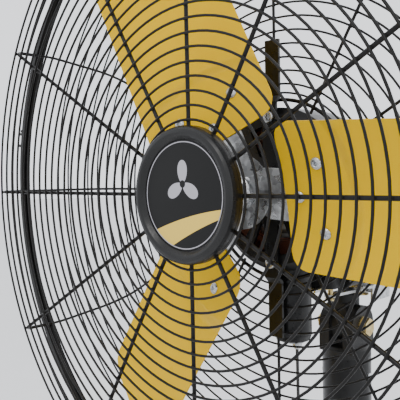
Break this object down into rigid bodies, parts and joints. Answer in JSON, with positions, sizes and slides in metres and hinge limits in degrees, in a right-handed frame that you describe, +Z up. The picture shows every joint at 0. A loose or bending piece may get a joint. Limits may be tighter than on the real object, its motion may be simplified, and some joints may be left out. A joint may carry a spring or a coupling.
{
  "type": "pedestal fan",
  "caption": "Pedestal air circulator: caged paddle-blade rotor, induction motor and oscillating gearbox on a telescopic column with a round base.",
  "frame": {"origin": "centre of the foot circle on the floor, under the column's axis", "axes": "+Z up along the column, -Y the way the fan blows at rest, +X to the right seen from the front"},
  "size_m": [0.6858, 0.498, 1.4911],
  "materials": {
    "satin_black_wire": "black powder-coated wire, satin",
    "blade_yellow": "glossy yellow enamel on sheet steel",
    "galvanised": "galvanised sheet with spangle",
    "zinc_bright": "bright zinc plate",
    "zinc_yellow": "yellow chromate zinc plate",
    "bright_steel": "ground steel",
    "black_enamel": "black enamel on steel",
    "black_cast": "black painted casting",
    "black_plastic": "black moulded plastic, semi-gloss",
    "label_print": "printed label, charcoal with a gold band",
    "black_rubber": "black rubber",
    "nylon": "natural nylon",
    "copper_winding": "enamelled copper wire",
    "laminations": "stacked electrical steel",
    "cast_aluminium": "die-cast aluminium",
    "bronze": "bronze",
    "cord_black": "black braided cord"
  },
  "bodies": {
    "stand": {"base_feet": "black_rubber", "base_plate": "black_enamel", "column_flange": "black_enamel", "flange_bolts": "zinc_bright", "outer_column": "black_enamel", "height_collar": "black_cast", "guide_bush": "nylon"},
    "lock_knob": {"height_lock_knob": "black_plastic", "height_lock_screw": "zinc_bright"},
    "mast": {"inner_column": "black_enamel", "column_plug": "nylon", "neck_casting": "black_cast", "neck_screws": "zinc_bright", "tilt_bolt": "zinc_yellow", "tilt_nut": "zinc_yellow", "tilt_washers": "zinc_yellow"},
    "yoke": {"tilt_block": "black_cast", "swivel_plate": "zinc_bright", "swivel_pin": "bright_steel", "link_stud": "zinc_yellow", "thrust_washer": "bronze"},
    "head": {"front_guard_rings": "satin_black_wire", "front_guard_frame": "satin_black_wire", "rear_guard_rings": "satin_black_wire", "rear_guard_frame": "satin_black_wire", "rim_band": "satin_black_wire", "band_clamp": "satin_black_wire", "badge_disc": "black_plastic", "badge_label": "label_print", "badge_back_plate": "black_enamel", "case_screws": "zinc_bright", "guard_strap": "black_enamel", "motor_front_bell": "black_enamel", "motor_rear_bell": "black_enamel", "stator_core": "laminations", "stator_windings": "copper_winding", "motor_bearings": "bright_steel", "gear_housing": "black_cast", "gear_cover": "black_cast", "cord_gland": "black_plastic", "run_capacitor": "black_plastic", "switch_housing": "black_plastic", "pull_switch": "zinc_bright"},
    "rotor": {"blade_1": "blade_yellow", "blade_2": "blade_yellow", "blade_3": "blade_yellow", "blade_spider": "galvanised", "hub_set_screw": "zinc_bright", "blade_rivets": "zinc_bright", "motor_shaft": "bright_steel", "worm": "bright_steel", "rotor_core": "cast_aluminium"},
    "worm_wheel": {"worm_wheel": "bronze"},
    "clutch_spindle": {"clutch_spindle": "bright_steel"},
    "clutch_knob": {"clutch_knob": "black_plastic"},
    "crank": {"crank": "zinc_yellow"},
    "link_rod": {"link_rod": "bright_steel"},
    "pull_stem": {"pull_stem": "bright_steel"},
    "pull_cord": {"pull_cord": "cord_black", "pull_knob": "black_plastic"}
  },
  "joints": [
    {"name": "column_height", "type": "slide", "parent": "stand", "child": "mast", "axis": [0, 0, 1], "range_m": [0, 0.35]},
    {"name": "height_lock_turn", "type": "hinge", "parent": "stand", "child": "lock_knob", "pos_m": [0.061, 0, 0.584], "axis": [1, 0, 0], "range_deg": [0, 540]},
    {"name": "head_tilt", "type": "hinge", "parent": "mast", "child": "yoke", "pos_m": [0, 0, 0.986], "axis": [1, 0, 0], "range_deg": [-20, 12]},
    {"name": "head_swing", "type": "hinge", "parent": "yoke", "child": "head", "pos_m": [0, 0, 1.05], "axis": [0, 0, 1], "range_deg": [-38, 38]},
    {"name": "rotor_spin", "type": "hinge", "parent": "head", "child": "rotor", "pos_m": [0, -0.193, 1.15], "axis": [0, 1, 0], "continuous": true},
    {"name": "worm_wheel_turn", "type": "hinge", "parent": "head", "child": "worm_wheel", "pos_m": [0.021, -0.0365, 1.15], "axis": [0, 0, 1], "continuous": true},
    {"name": "clutch_spindle_turn", "type": "hinge", "parent": "head", "child": "clutch_spindle", "pos_m": [0.021, -0.0365, 1.1], "axis": [0, 0, 1], "range_deg": [-140, 140]},
    {"name": "clutch_lift", "type": "slide", "parent": "clutch_spindle", "child": "clutch_knob", "axis": [0, 0, 1], "range_m": [0, 0.008]},
    {"name": "crank_turn", "type": "hinge", "parent": "head", "child": "crank", "pos_m": [0, -0.056, 1.05], "axis": [0, 0, 1], "range_deg": [-57, 57]},
    {"name": "link_turn", "type": "hinge", "parent": "crank", "child": "link_rod", "pos_m": [0.014, -0.056, 1.03], "axis": [0, 0, 1], "range_deg": [-57, 57]},
    {"name": "switch_pull", "type": "slide", "parent": "head", "child": "pull_stem", "axis": [0, 0, -1], "range_m": [0, 0.01], "stiffness_N_per_m": 600, "springref_m": -0.001},
    {"name": "cord_swing", "type": "hinge", "parent": "pull_stem", "child": "pull_cord", "pos_m": [0, -0.101, 0.9769], "axis": [1, 0, 0], "range_deg": [-21, 21]}
  ],
  "couplings": [
    {"joint": "worm_wheel_turn", "follows": "rotor_spin", "ratio": 0.05},
    {"joint": "crank_turn", "follows": "head_swing", "ratio": -1.458},
    {"joint": "link_turn", "follows": "head_swing", "ratio": 1.458},
    {"joint": "clutch_spindle_turn", "follows": "head_swing", "ratio": 3.645},
    {"joint": "cord_swing", "follows": "head_tilt", "ratio": -1}
  ]
}
